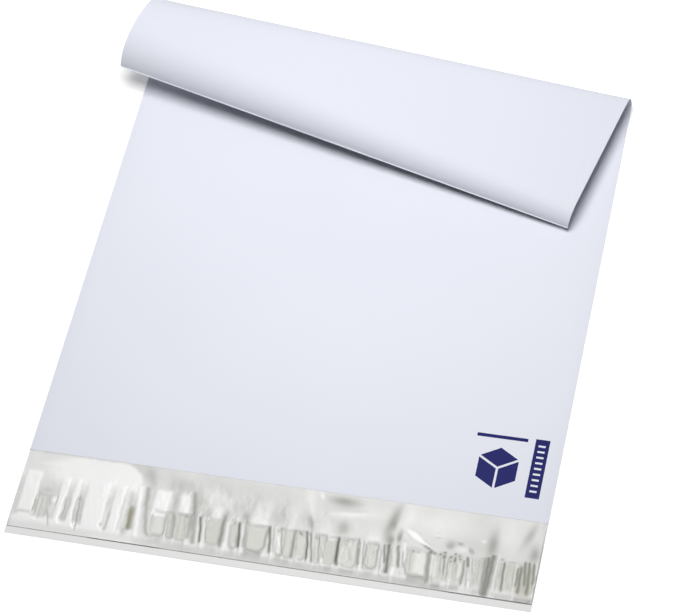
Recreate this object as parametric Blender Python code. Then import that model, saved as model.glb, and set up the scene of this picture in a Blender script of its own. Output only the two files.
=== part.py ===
"""Poly mailer bag: a side-sealed film bag with a long self-seal flap.

The bag lies on its back, flap towards -Y. Its closed end is lifted and curled over the front
panel. The curl is wide at the left and tightens towards the right, because its fold lines fan
out from a point beyond the right edge. The bag is made flat, scored across and folded.
"""

import math
from dataclasses import dataclass

import bmesh
import bpy
from mathutils import Matrix, Vector

# Bag, in metres
BAG_WIDTH = 0.254
BODY_LENGTH = 0.330
FLAP_LENGTH = 0.045
FILM = 0.00015
POCKET_GAP = 0.0003
SIDE_SEAM = 0.003
ORIGIN_ABOVE_MOUTH = 0.120

# Curl at the closed end, measured back from that end and along the bag's centre line
FAN_BEYOND_EDGE = 0.133
FAN_BELOW_END = 0.102
LIFT_START = 0.0044
LIFT_RUN = 0.0562
LIFT_ANGLE = math.radians(31.6)
ROLL_START = 0.0121
ROLL_RUN = 0.0345
ROLL_ANGLE = math.radians(148.5)
CURL_CREASES = 32

# Free end of the curl, bent down towards the front panel
DROOP_RUN = 0.024
DROOP_ANGLE = math.radians(39.0)
DROOP_CREASES = 8

# Adhesive strip on the flap
ADHESIVE_ABOVE_LIP = 0.0075
ADHESIVE_BAND = 0.0150
ADHESIVE_THICKNESS = 0.00015
ADHESIVE_INSET = 0.0010

# Release liner over the adhesive strip
BARE_LIP = 0.0037
LINER_THICKNESS = 0.00012
LINER_INSET = 0.0005
LINER_TO_MOUTH = 0.0005
LINER_STEP_RUN = 0.0015
LINER_ROWS = 5
SEAT = 0.0003

ON_CREASE = 1e-6
SHARP_ANGLE = math.radians(35.0)

STACK = 2.0 * FILM + POCKET_GAP
BAG_LENGTH = FLAP_LENGTH + BODY_LENGTH


@dataclass(frozen=True)
class Finish:
    """Base colour, roughness and opacity of one film."""

    name: str
    color: tuple[float, float, float]
    roughness: float
    alpha: float = 1.0


@dataclass(frozen=True)
class Crease:
    """A fold line in the flat sheet, running towards +X, and the angle it folds by."""

    point: Vector
    direction: Vector
    angle: float

    @property
    def across(self) -> Vector:
        """Unit vector in the sheet, square to the crease and pointing up the bag."""
        return Vector((-self.direction.y, self.direction.x, 0.0))

    def offset(self, spot: Vector) -> float:
        """Distance of a flat spot beyond the crease."""
        return (spot - self.point).dot(self.across)

    def turn(self, share: float) -> Matrix:
        """Rotation about the crease by a share of its angle."""
        about = Matrix.Rotation(share * self.angle, 4, self.direction)
        return Matrix.Translation(self.point) @ about @ Matrix.Translation(-self.point)


@dataclass(frozen=True)
class Gathers:
    """A run of equal ridges or pads in the liner, placed as shares of its width."""

    start: float
    end: float
    count: int
    height: float
    cells: int


GATHERS = (
    Gathers(start=0.02, end=0.20, count=5, height=0.0006, cells=4),
    Gathers(start=0.21, end=0.24, count=1, height=0.0005, cells=2),
    Gathers(start=0.25, end=0.56, count=7, height=0.0008, cells=4),
    Gathers(start=0.565, end=0.61, count=4, height=0.0004, cells=2),
    Gathers(start=0.74, end=0.79, count=2, height=0.0006, cells=4),
    Gathers(start=0.80, end=0.88, count=7, height=0.0004, cells=2),
    Gathers(start=0.885, end=0.905, count=1, height=0.0006, cells=2),
    Gathers(start=0.915, end=0.99, count=8, height=0.0005, cells=2),
)

FILM_WHITE = Finish("film_white", (0.80, 0.82, 0.88), 0.38)
ADHESIVE_CLEAR = Finish("adhesive_clear", (0.62, 0.62, 0.56), 0.25)
LINER_CLEAR = Finish("liner_clear", (0.76, 0.77, 0.75), 0.16)


def clear_scene() -> None:
    """Remove every object."""
    for item in list(bpy.data.objects):
        bpy.data.objects.remove(item, do_unlink=True)


def material(finish: Finish) -> bpy.types.Material:
    """Principled material of one finish."""
    made = bpy.data.materials.new(finish.name)
    made.use_nodes = True
    shader = made.node_tree.nodes["Principled BSDF"]
    shader.inputs["Base Color"].default_value = (*finish.color, 1.0)
    shader.inputs["Roughness"].default_value = finish.roughness
    shader.inputs["Metallic"].default_value = 0.0
    shader.inputs["Alpha"].default_value = finish.alpha
    return made


def add_object(name: str, bm: bmesh.types.BMesh, finish: Finish) -> bpy.types.Object:
    """Move a flat-frame mesh into the bag's own frame and link it as an object."""
    own_origin = Vector((0.0, FLAP_LENGTH + ORIGIN_ABOVE_MOUTH, 0.0))
    bmesh.ops.translate(bm, verts=bm.verts, vec=-own_origin)
    bmesh.ops.triangulate(bm, faces=bm.faces)
    bmesh.ops.recalc_face_normals(bm, faces=bm.faces)
    mesh = bpy.data.meshes.new(name)
    bm.to_mesh(mesh)
    bm.free()
    mesh.shade_smooth()
    mesh.set_sharp_from_angle(angle=SHARP_ANGLE)
    mesh.materials.append(material(finish))
    made = bpy.data.objects.new(name, mesh)
    bpy.context.collection.objects.link(made)
    return made


def smooth(share: float) -> float:
    """Ease from 0 to 1."""
    held = min(max(share, 0.0), 1.0)
    return held * held * (3.0 - 2.0 * held)


def curl_angle(past_fan: float) -> float:
    """How far the film has turned at a fold line this far past the fan's own level."""
    lifted = LIFT_ANGLE * smooth((past_fan - LIFT_START) / LIFT_RUN)
    rolled = ROLL_ANGLE * smooth((past_fan - ROLL_START) / ROLL_RUN)
    return lifted + rolled


def fan_creases() -> list[Crease]:
    """Fold lines of the curl, which meet at one point beyond the bag's right edge."""
    fan = Vector((BAG_WIDTH / 2.0 + FAN_BEYOND_EDGE, BAG_LENGTH - FAN_BELOW_END, 0.0))
    first = min(LIFT_START, ROLL_START)
    last = max(LIFT_START + LIFT_RUN, ROLL_START + ROLL_RUN)
    step = (last - first) / CURL_CREASES
    creases = []
    for index in range(CURL_CREASES):
        middle = first + (index + 0.5) * step
        point = Vector((0.0, fan.y + middle, 0.0))
        angle = curl_angle(middle + step / 2.0) - curl_angle(middle - step / 2.0)
        creases.append(Crease(point, (fan - point).normalized(), angle))
    return creases


def droop_creases() -> list[Crease]:
    """Fold lines of the free end, square to the bag's length."""
    step = DROOP_RUN / DROOP_CREASES
    creases = []
    for index in range(DROOP_CREASES):
        share = (index + 0.5) / DROOP_CREASES
        half = 0.5 / DROOP_CREASES
        angle = DROOP_ANGLE * (smooth(share + half) - smooth(share - half))
        point = Vector((0.0, BAG_LENGTH - DROOP_RUN + (index + 0.5) * step, 0.0))
        creases.append(Crease(point, Vector((1.0, 0.0, 0.0)), angle))
    return creases


def score(bm: bmesh.types.BMesh, creases: list[Crease]) -> None:
    """Cut the flat mesh along each fold line."""
    for crease in creases:
        geometry = bm.verts[:] + bm.edges[:] + bm.faces[:]
        bmesh.ops.bisect_plane(bm, geom=geometry, plane_co=crease.point, plane_no=crease.across)


def fold(bm: bmesh.types.BMesh, creases: list[Crease]) -> None:
    """Turn what lies beyond each fold line, farthest line first; the line's own points mitre."""
    flat = [(vert, vert.co.copy()) for vert in bm.verts]
    for crease in reversed(creases):
        whole = crease.turn(1.0)
        mitre = crease.turn(0.5)
        for vert, spot in flat:
            offset = crease.offset(spot)
            if offset > ON_CREASE:
                vert.co = whole @ vert.co
            elif offset > -ON_CREASE:
                vert.co = mitre @ vert.co


def bag_outline() -> bmesh.types.BMesh:
    """Solid side profile of the flat bag, the flap one film thick, drawn out to its width."""
    profile = (
        (0.0, 0.0),
        (BAG_LENGTH, 0.0),
        (BAG_LENGTH, STACK),
        (FLAP_LENGTH, STACK),
        (FLAP_LENGTH, FILM),
        (0.0, FILM),
    )
    bm = bmesh.new()
    corners = [bm.verts.new((-BAG_WIDTH / 2.0, y, z)) for y, z in profile]
    side = bm.faces.new(corners)
    drawn = bmesh.ops.extrude_face_region(bm, geom=[side])
    moved = [item for item in drawn["geom"] if isinstance(item, bmesh.types.BMVert)]
    bmesh.ops.translate(bm, verts=moved, vec=(BAG_WIDTH, 0.0, 0.0))
    bmesh.ops.recalc_face_normals(bm, faces=bm.faces)
    return bm


def split_face(bm: bmesh.types.BMesh, near: Vector, point: Vector, normal: Vector) -> None:
    """Cut the one face whose middle is nearest a spot, along a plane."""
    face = min(bm.faces, key=lambda item: (item.calc_center_median() - near).length)
    geometry = [face] + face.edges[:] + face.verts[:]
    bmesh.ops.bisect_plane(bm, geom=geometry, plane_co=point, plane_no=normal)


def open_pocket(bm: bmesh.types.BMesh) -> None:
    """Push the mouth in between the two panels, as far as the side seams and the end fold."""
    panel_edge = Vector((0.0, FLAP_LENGTH, (FILM + STACK) / 2.0))
    slot = Vector((0.0, FLAP_LENGTH, FILM + POCKET_GAP / 2.0))
    slot_top = Vector((0.0, FLAP_LENGTH, FILM + POCKET_GAP))
    split_face(bm, panel_edge, slot_top, Vector((0.0, 0.0, 1.0)))
    for side in (-1.0, 1.0):
        seam = Vector((side * (BAG_WIDTH / 2.0 - SIDE_SEAM), 0.0, 0.0))
        split_face(bm, slot, seam, Vector((1.0, 0.0, 0.0)))
    mouth = min(bm.faces, key=lambda item: (item.calc_center_median() - slot).length)
    pushed = bmesh.ops.extrude_discrete_faces(bm, faces=[mouth])["faces"][0]
    bmesh.ops.translate(bm, verts=pushed.verts, vec=(0.0, BODY_LENGTH - FILM, 0.0))


def make_bag() -> bpy.types.Object:
    """Back panel with its flap, front panel, side seams and end fold, as one piece."""
    bm = bag_outline()
    open_pocket(bm)
    creases = fan_creases() + droop_creases()
    score(bm, creases)
    fold(bm, creases)
    return add_object("bag", bm, FILM_WHITE)


def make_adhesive_strip() -> bpy.types.Object:
    """Flat band of adhesive across the flap."""
    bm = bmesh.new()
    width = BAG_WIDTH - 2.0 * ADHESIVE_INSET
    up_flap = ADHESIVE_ABOVE_LIP + ADHESIVE_BAND / 2.0
    middle = Vector((0.0, up_flap, FILM + SEAT + ADHESIVE_THICKNESS / 2.0))
    size = Matrix.Diagonal((width, ADHESIVE_BAND, ADHESIVE_THICKNESS, 1.0))
    bmesh.ops.create_cube(bm, size=1.0, matrix=Matrix.Translation(middle) @ size)
    return add_object("adhesive_strip", bm, ADHESIVE_CLEAR)


def gather_stations() -> list[tuple[float, float]]:
    """Share of the liner's width and ridge height at each column of the liner."""
    stations = [(0.0, 0.0)]
    for run in GATHERS:
        pitch = (run.end - run.start) / run.count
        for index in range(run.count * run.cells + 1):
            share = run.start + pitch * index / run.cells
            rise = math.sin(math.pi * (index % run.cells) / run.cells) ** 2
            stations.append((share, run.height * rise))
    stations.append((1.0, 0.0))
    return stations


def liner_levels() -> list[tuple[float, float]]:
    """Distance up the flap and seat height at each row of the liner, which steps over the band."""
    low = FILM + SEAT
    high = low + ADHESIVE_THICKNESS + SEAT
    band_start = ADHESIVE_ABOVE_LIP
    band_end = ADHESIVE_ABOVE_LIP + ADHESIVE_BAND
    levels = [(BARE_LIP, low), (band_start - SEAT - LINER_STEP_RUN, low)]
    for index in range(LINER_ROWS + 1):
        share = index / LINER_ROWS
        levels.append((band_start - SEAT + share * (ADHESIVE_BAND + 2.0 * SEAT), high))
    levels.append((band_end + SEAT + LINER_STEP_RUN, low))
    levels.append((FLAP_LENGTH - LINER_TO_MOUTH, low))
    return levels


def swell(y: float) -> float:
    """Share of a gather's height this far up the flap: none at the liner's two long edges."""
    run = FLAP_LENGTH - LINER_TO_MOUTH - BARE_LIP
    return math.sin(math.pi * (y - BARE_LIP) / run)


def make_release_liner() -> bpy.types.Object:
    """Thin clear strip laid over the adhesive, gathered into pads and fine ridges."""
    bm = bmesh.new()
    width = BAG_WIDTH - 2.0 * LINER_INSET
    rows = []
    for y, seat in liner_levels():
        row = [
            bm.verts.new(((share - 0.5) * width, y, seat + swell(y) * height))
            for share, height in gather_stations()
        ]
        rows.append(row)
    for lower, upper in zip(rows, rows[1:]):
        for left in range(len(lower) - 1):
            bm.faces.new((lower[left], lower[left + 1], upper[left + 1], upper[left]))
    drawn = bmesh.ops.extrude_face_region(bm, geom=bm.faces[:])
    top = [item for item in drawn["geom"] if isinstance(item, bmesh.types.BMVert)]
    bmesh.ops.translate(bm, verts=top, vec=(0.0, 0.0, LINER_THICKNESS))
    return add_object("release_liner", bm, LINER_CLEAR)


def main() -> None:
    """Build the bag, its adhesive and its liner."""
    clear_scene()
    make_bag()
    make_adhesive_strip()
    make_release_liner()


if __name__ == "__main__":
    main()
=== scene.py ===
"""Looks of a poly mailer bag: white film, printed corner, adhesive and gathered liner."""

import logging
import math
from dataclasses import dataclass
from enum import Enum

import bmesh
import bpy
import numpy as np
from bmesh.types import BMesh, BMFace, BMVert
from bpy.types import Material, Node, NodeSocket, NodeTree, Object
from mathutils import Matrix, Vector


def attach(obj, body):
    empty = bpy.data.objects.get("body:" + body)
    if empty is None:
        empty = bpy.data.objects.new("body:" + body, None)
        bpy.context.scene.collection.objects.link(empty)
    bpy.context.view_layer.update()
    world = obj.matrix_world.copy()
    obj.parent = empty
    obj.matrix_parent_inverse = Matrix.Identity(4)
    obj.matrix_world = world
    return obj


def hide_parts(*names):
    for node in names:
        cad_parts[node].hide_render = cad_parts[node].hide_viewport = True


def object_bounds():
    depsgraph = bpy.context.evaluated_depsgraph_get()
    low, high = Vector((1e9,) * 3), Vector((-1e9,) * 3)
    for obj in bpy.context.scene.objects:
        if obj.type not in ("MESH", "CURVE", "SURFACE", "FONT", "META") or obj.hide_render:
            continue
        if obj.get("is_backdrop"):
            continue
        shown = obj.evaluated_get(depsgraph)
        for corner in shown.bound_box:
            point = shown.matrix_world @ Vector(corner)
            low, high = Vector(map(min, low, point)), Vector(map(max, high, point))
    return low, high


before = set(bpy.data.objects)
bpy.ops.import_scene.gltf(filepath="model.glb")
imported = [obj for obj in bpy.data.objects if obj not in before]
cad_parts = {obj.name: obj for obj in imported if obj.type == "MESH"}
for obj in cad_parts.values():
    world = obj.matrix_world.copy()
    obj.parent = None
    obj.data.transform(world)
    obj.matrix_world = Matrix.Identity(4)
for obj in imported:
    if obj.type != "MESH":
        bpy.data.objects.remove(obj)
CAD_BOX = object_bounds()
LOG = logging.getLogger("poly_mailer")

BODY = "root"
MM = 0.001
ON_LINE = 1e-6
RIGHTWARDS = Vector((1.0, 0.0, 0.0))
Pair = tuple[float, float]
Place = tuple[float, float, float]
Color = tuple[float, float, float, float]
SHARP_ANGLE = math.radians(40.0)
WHITE = (1.0, 1.0, 1.0, 1.0)
BLACK = (0.0, 0.0, 0.0, 1.0)


class Side(Enum):
    """Left or right edge of the bag, as the flap faces the viewer."""

    LEFT = -1.0
    RIGHT = 1.0


class Tone(Enum):
    """Channels of the liner's tone attribute: painted highlight, stuck tint, painted shade and
    olive tint.
    """

    BRIGHT = 0
    STUCK = 1
    LINE = 2
    OLIVE = 3


def eased(share: np.ndarray | float) -> np.ndarray:
    """Ease a share from 0 to 1.

    Args:
        share: Position between the two ends, which may run past them.

    Returns:
        The eased share, held at 0 and 1.
    """
    held = np.clip(share, 0.0, 1.0)
    return held * held * (3.0 - 2.0 * held)


def ramp(value: np.ndarray | float, start: float, run: float) -> np.ndarray:
    """Ease up from 0 to 1.

    Args:
        value: Values to weigh.
        start: Where it leaves 0.
        run: How much further on it reaches 1.

    Returns:
        The eased share.
    """
    return eased((value - start) / run)


def fall(value: np.ndarray, middle: float, soft: float) -> np.ndarray:
    """Ease down from 1 to 0.

    Args:
        value: Values to weigh.
        middle: Where it passes one half.
        soft: Width of the fall.

    Returns:
        The eased share.
    """
    return eased((middle - value) / soft + 0.5)


def window(value: np.ndarray, low: float, high: float, soft: float) -> np.ndarray:
    """Soft-edged band of a value.

    Args:
        value: Positions to weigh.
        low: Lower edge of the band.
        high: Upper edge of the band.
        soft: Width of each soft edge, centred on the edge.

    Returns:
        1 inside the band, 0 outside.
    """
    return eased((value - low) / soft + 0.5) * fall(value, high, soft)


def waves(x: np.ndarray, y: np.ndarray, length: float, seed: float) -> np.ndarray:
    """Gentle uneven waves in two directions.

    Args:
        x: Positions across the bag.
        y: Positions up the bag.
        length: Typical wave length, in the same unit.
        seed: Phase that sets this pattern apart from others.

    Returns:
        A height between about -1 and 1.
    """
    layers, heading_step, slowest, pace_step = 4, 2.4, 0.75, 0.31
    seed_phase, phase_step, meander, meander_pace = 3.1, 1.7, 0.8, 0.6
    turn = 2.0 * math.pi / length
    total = np.zeros_like(x)
    for step in range(layers):
        heading = seed + heading_step * step
        pace = turn * (slowest + pace_step * step)
        along = x * math.cos(heading) + y * math.sin(heading)
        aside = y * math.cos(heading) - x * math.sin(heading)
        bend = meander * np.sin(meander_pace * pace * aside)
        total += np.sin(pace * along + seed_phase * seed + phase_step * step + bend)
    return total / layers


@dataclass(frozen=True)
class Crease:
    """A line across the flat sheet, running towards +X, and the angle it folds by."""

    point: Vector
    direction: Vector
    angle: float = 0.0

    @property
    def across(self) -> Vector:
        """Unit vector in the sheet, square to the line and pointing up the bag."""
        return Vector((-self.direction.y, self.direction.x, 0.0))

    def offsets(self, flat: np.ndarray) -> np.ndarray:
        """Distance of flat spots beyond the line.

        Args:
            flat: Flat positions, one row each.

        Returns:
            One signed distance per row.
        """
        return (flat - np.array(self.point)) @ np.array(self.across)

    def turned(self, spots: np.ndarray, share: float) -> np.ndarray:
        """Turn spots about the line.

        Args:
            spots: Positions, one row each.
            share: Share of the fold angle to turn by.

        Returns:
            The turned positions.
        """
        about = np.array(Matrix.Rotation(share * self.angle, 3, self.direction))
        pivot = np.array(self.point)
        return (spots - pivot) @ about.T + pivot


@dataclass(frozen=True)
class Curl:
    """Fold lines of the curled closed end. They fan out from a point beyond the right edge."""

    width: float
    length: float
    fan_beyond_edge: float = 0.133
    fan_below_end: float = 0.1026
    lift_start: float = 0.0044
    lift_run: float = 0.0562
    lift_angle: float = math.radians(31.6)
    roll_start: float = 0.0121
    roll_run: float = 0.0345
    roll_angle: float = math.radians(148.5)
    droop_left: float = 0.034
    droop_right: float = 0.017
    droop_angle: float = math.radians(78.0)
    droop_power: float = 1.8
    flare_run: float = 0.0005
    flare_angle: float = math.radians(-50.0)
    fan_lines: int = 78
    wedge_lines: int = 8
    droop_lines: int = 26
    last_fan_line: float = 0.0500

    @property
    def start(self) -> float:
        """Level of the fan's point, up the flat bag."""
        return self.length - self.fan_below_end

    @property
    def fan(self) -> Vector:
        """The point beyond the right edge that the lines fan out from."""
        return Vector((self.width / 2.0 + self.fan_beyond_edge, self.start, 0.0))

    def turn_at(self, past_fan: float) -> float:
        """How far the film has turned at a fan line.

        Args:
            past_fan: Distance of the line past the fan's level, on the centre line.

        Returns:
            The turn, in radians.
        """
        lifted = self.lift_angle * float(ramp(past_fan, self.lift_start, self.lift_run))
        rolled = self.roll_angle * float(ramp(past_fan, self.roll_start, self.roll_run))
        return lifted + rolled

    def creases(self) -> list[Crease]:
        """Every line across the curl, from the flat panel to the closed end.

        Returns:
            The lines in order up the bag, some of which only divide the sheet.
        """
        level = Vector((0.0, self.length - self.flare_run, 0.0))
        flare = Crease(level, RIGHTWARDS, self.flare_angle)
        return self.fanned() + self.wedged() + self.drooped() + [flare]

    def fanned(self) -> list[Crease]:
        """Lines that meet in the fan's point.

        Returns:
            The fold lines of the lift and the roll.
        """
        first = min(self.lift_start, self.roll_start)
        step = (self.last_fan_line - first) / self.fan_lines
        lines = []
        for index in range(self.fan_lines):
            middle = first + (index + 0.5) * step
            after = middle + 0.5 * step
            if index == self.fan_lines - 1:
                after = self.lift_start + self.lift_run
            angle = self.turn_at(after) - self.turn_at(middle - 0.5 * step)
            point = Vector((0.0, self.fan.y + middle, 0.0))
            lines.append(Crease(point, (self.fan - point).normalized(), angle))
        return lines

    def wedged(self) -> list[Crease]:
        """Lines that divide the unbent film between the last fan line and the droop.

        Returns:
            Dividing lines with no fold.
        """
        droops = {Side.LEFT: self.droop_left, Side.RIGHT: self.droop_right}
        lines = []
        for index in range(1, self.wedge_lines):
            levels = []
            for side, droop in droops.items():
                x = side.value * self.width / 2.0
                low = self.fan.y + self.last_fan_line * (self.fan.x - x) / self.fan.x
                levels.append(low + index / self.wedge_lines * (self.length - droop - low))
            lines.append(self.slanted(*levels))
        return lines

    def drooped(self) -> list[Crease]:
        """Lines of the droop, which gets tighter towards the closed end.

        Returns:
            The fold lines.
        """
        lines = []
        for index in range(self.droop_lines):
            low = (index / self.droop_lines) ** self.droop_power
            high = ((index + 1) / self.droop_lines) ** self.droop_power
            left = 1.0 - (index + 0.5) / self.droop_lines
            ends = (self.length - droop * left for droop in (self.droop_left, self.droop_right))
            lines.append(self.slanted(*ends, self.droop_angle * (high - low)))
        return lines

    def slanted(self, left: float, right: float, angle: float = 0.0) -> Crease:
        """A line between two places on the side edges.

        Args:
            left: Where it meets the left edge, up the bag.
            right: Where it meets the right edge, up the bag.
            angle: Its fold angle.

        Returns:
            The line.
        """
        run = Vector((self.width, right - left, 0.0)).normalized()
        return Crease(Vector((0.0, (left + right) / 2.0, 0.0)), run, angle)


class Graph:
    """Adds and links the nodes of one material, world or group."""

    def __init__(self, tree: NodeTree) -> None:
        """Keep the node tree.

        Args:
            tree: The tree that nodes are added to.
        """
        self.tree = tree

    def add(self, kind: str, **settings: object) -> Node:
        """Add a node.

        Args:
            kind: Blender's name of the node type.
            **settings: Properties to set on it.

        Returns:
            The new node.
        """
        node = self.tree.nodes.new(kind)
        for name, value in settings.items():
            setattr(node, name, value)
        return node

    def feed(self, socket: NodeSocket, value: object) -> None:
        """Give a socket a value or a link.

        Args:
            socket: The input to fill.
            value: A number, a tuple, or another node's output.
        """
        if isinstance(value, NodeSocket):
            self.tree.links.new(value, socket)
        else:
            socket.default_value = value

    def math(self, operation: str, *values: object, clamp: bool = False) -> NodeSocket:
        """Add a Math node.

        Args:
            operation: Its operation.
            *values: Numbers or outputs for its inputs.
            clamp: Whether the result is held between 0 and 1.

        Returns:
            Its output.
        """
        node = self.add("ShaderNodeMath", operation=operation, use_clamp=clamp)
        for socket, value in zip(node.inputs, values):
            self.feed(socket, value)
        return node.outputs[0]

    def mix(self, share: object, first: object, second: object) -> NodeSocket:
        """Mix two colours.

        Args:
            share: How much of the second colour shows.
            first: The colour at share 0.
            second: The colour at share 1.

        Returns:
            The mixed colour.
        """
        node = self.add("ShaderNodeMix", data_type="RGBA")
        self.feed(node.inputs["Factor"], share)
        self.feed(node.inputs[6], first)
        self.feed(node.inputs[7], second)
        return node.outputs[2]

    def spread(self, value: object, low: float, high: float) -> NodeSocket:
        """Map a value from 0 and 1 to two other numbers.

        Args:
            value: The value to map.
            low: Result at 0.
            high: Result at 1.

        Returns:
            The mapped value.
        """
        node = self.add("ShaderNodeMapRange")
        self.feed(node.inputs["Value"], value)
        node.inputs["To Min"].default_value = low
        node.inputs["To Max"].default_value = high
        return node.outputs["Result"]

    def use(self, group: NodeTree, **values: object) -> Node:
        """Place a node group.

        Args:
            group: The group.
            **values: Its inputs, with underscores for spaces.

        Returns:
            The group's node.
        """
        node = self.add("ShaderNodeGroup", node_tree=group)
        for name, value in values.items():
            self.feed(node.inputs[name.replace("_", " ")], value)
        return node

    def close(self, result: NodeSocket) -> NodeTree:
        """Give a group its result.

        Args:
            result: The output that the group passes on.

        Returns:
            The finished group.
        """
        self.feed(self.add("NodeGroupOutput").inputs[0], result)
        return self.tree


@dataclass(frozen=True)
class Crinkle:
    """Fine creases in a surface: how close together, how strong and how deep."""

    scale: float
    strength: float
    depth: float


class Surface(Graph):
    """The graph of a new material, with its shader and its object coordinates."""

    def __init__(self, name: str, effects: "Effects") -> None:
        """Start the material.

        Args:
            name: Its name.
            effects: The shared node groups.
        """
        self.made = bpy.data.materials.new(name)
        self.made.use_nodes = True
        super().__init__(self.made.node_tree)
        self.effects = effects
        self.shader = self.tree.nodes["Principled BSDF"]
        self.place = self.add("ShaderNodeTexCoord").outputs["Object"]

    def cloudy(self, scale: float) -> NodeSocket:
        """Soft uneven patches.

        Args:
            scale: How close together they lie.

        Returns:
            A value from 0 to 1.
        """
        return self.use(self.effects.cloud, Vector=self.place, Scale=scale).outputs["Value"]

    def dress(self, **values: object) -> None:
        """Give the shader its values and links.

        Args:
            **values: The shader's inputs, with underscores for spaces.
        """
        for name, value in values.items():
            self.feed(self.shader.inputs[name.replace("_", " ")], value)

    def crease(self, crinkle: Crinkle) -> None:
        """Give the surface its fine creases.

        Args:
            crinkle: The creases.
        """
        group = self.use(self.effects.crinkle, Vector=self.place, Scale=crinkle.scale)
        bump = self.add("ShaderNodeBump")
        bump.inputs["Strength"].default_value = crinkle.strength
        bump.inputs["Distance"].default_value = crinkle.depth
        self.feed(bump.inputs["Height"], group.outputs["Height"])
        self.dress(Normal=bump.outputs["Normal"])


class Effects:
    """Shader node groups that several finishes share."""

    def __init__(self) -> None:
        """Build each group once."""
        self.cloud = self.make_cloud()
        self.crinkle = self.make_crinkle()
        self.lozenge = self.make_lozenge()

    @staticmethod
    def group(name: str, inputs: dict[str, str], output: str) -> Graph:
        """Start a group with named inputs and one output.

        Args:
            name: The group's name.
            inputs: Socket type of each input, by name.
            output: Name of its one float output.

        Returns:
            The graph of the empty group.
        """
        made = bpy.data.node_groups.new(name, "ShaderNodeTree")
        for label, kind in inputs.items():
            made.interface.new_socket(label, in_out="INPUT", socket_type=kind)
        made.interface.new_socket(output, in_out="OUTPUT", socket_type="NodeSocketFloat")
        return Graph(made)

    def noise(
        self, name: str, output: str, **settings: float
    ) -> tuple[Graph, NodeSocket]:
        """Start a group around one noise texture.

        Args:
            name: The group's name.
            output: Name of its output.
            **settings: Values of the texture's inputs.

        Returns:
            The group's graph and the texture's value.
        """
        inputs = {"Vector": "NodeSocketVector", "Scale": "NodeSocketFloat"}
        graph = self.group(name, inputs, output)
        given = graph.add("NodeGroupInput")
        texture = graph.add("ShaderNodeTexNoise")
        for label, value in settings.items():
            texture.inputs[label].default_value = value
        for label in inputs:
            graph.feed(texture.inputs[label], given.outputs[label])
        return graph, texture.outputs["Fac"]

    def make_cloud(self) -> NodeTree:
        """Soft uneven patches, as in cloudy film.

        Returns:
            The group, whose Value runs from 0 to 1.
        """
        graph, noise = self.noise("film_cloud", "Value", Detail=3.0, Roughness=0.45)
        held = graph.add("ShaderNodeMapRange")
        held.inputs["From Min"].default_value = 0.3
        held.inputs["From Max"].default_value = 0.7
        graph.feed(held.inputs["Value"], noise)
        return graph.close(held.outputs["Result"])

    def make_crinkle(self) -> NodeTree:
        """Fine creases of thin film, as a bump height.

        Returns:
            The group, whose Height runs from 0 to about 1.
        """
        graph, noise = self.noise("film_crinkle", "Height", Detail=4.0, Distortion=0.6)
        folded = graph.math("ABSOLUTE", graph.math("SUBTRACT", noise, 0.5))
        return graph.close(graph.math("MULTIPLY", folded, 2.0))

    def make_lozenge(self) -> NodeTree:
        """A filled lozenge in the XY plane, between two pairs of parallel lines.

        Returns:
            The group, whose Mask is 1 inside.
        """
        places = ("Vector", "Centre", "First Axis", "Second Axis")
        inputs = {label: "NodeSocketVector" for label in places}
        inputs |= {label: "NodeSocketFloat" for label in ("First Half", "Second Half")}
        graph = self.group("print_lozenge", inputs, "Mask")
        given = graph.add("NodeGroupInput")
        local = graph.add("ShaderNodeVectorMath", operation="SUBTRACT")
        graph.feed(local.inputs[0], given.outputs["Vector"])
        graph.feed(local.inputs[1], given.outputs["Centre"])
        inside = []
        for order in ("First", "Second"):
            along = graph.add("ShaderNodeVectorMath", operation="DOT_PRODUCT")
            graph.feed(along.inputs[0], local.outputs["Vector"])
            graph.feed(along.inputs[1], given.outputs[f"{order} Axis"])
            distance = graph.math("ABSOLUTE", along.outputs["Value"])
            inside.append(graph.math("LESS_THAN", distance, given.outputs[f"{order} Half"]))
        return graph.close(graph.math("MULTIPLY", *inside))


@dataclass(frozen=True)
class Lozenge:
    """One printed field: its middle in the bag's frame, two axes and two half sizes."""

    centre: Pair
    half: Pair
    first_axis: Pair = (1.0, 0.0)
    second_axis: Pair = (0.0, 1.0)
    knocked_out: bool = False


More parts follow.
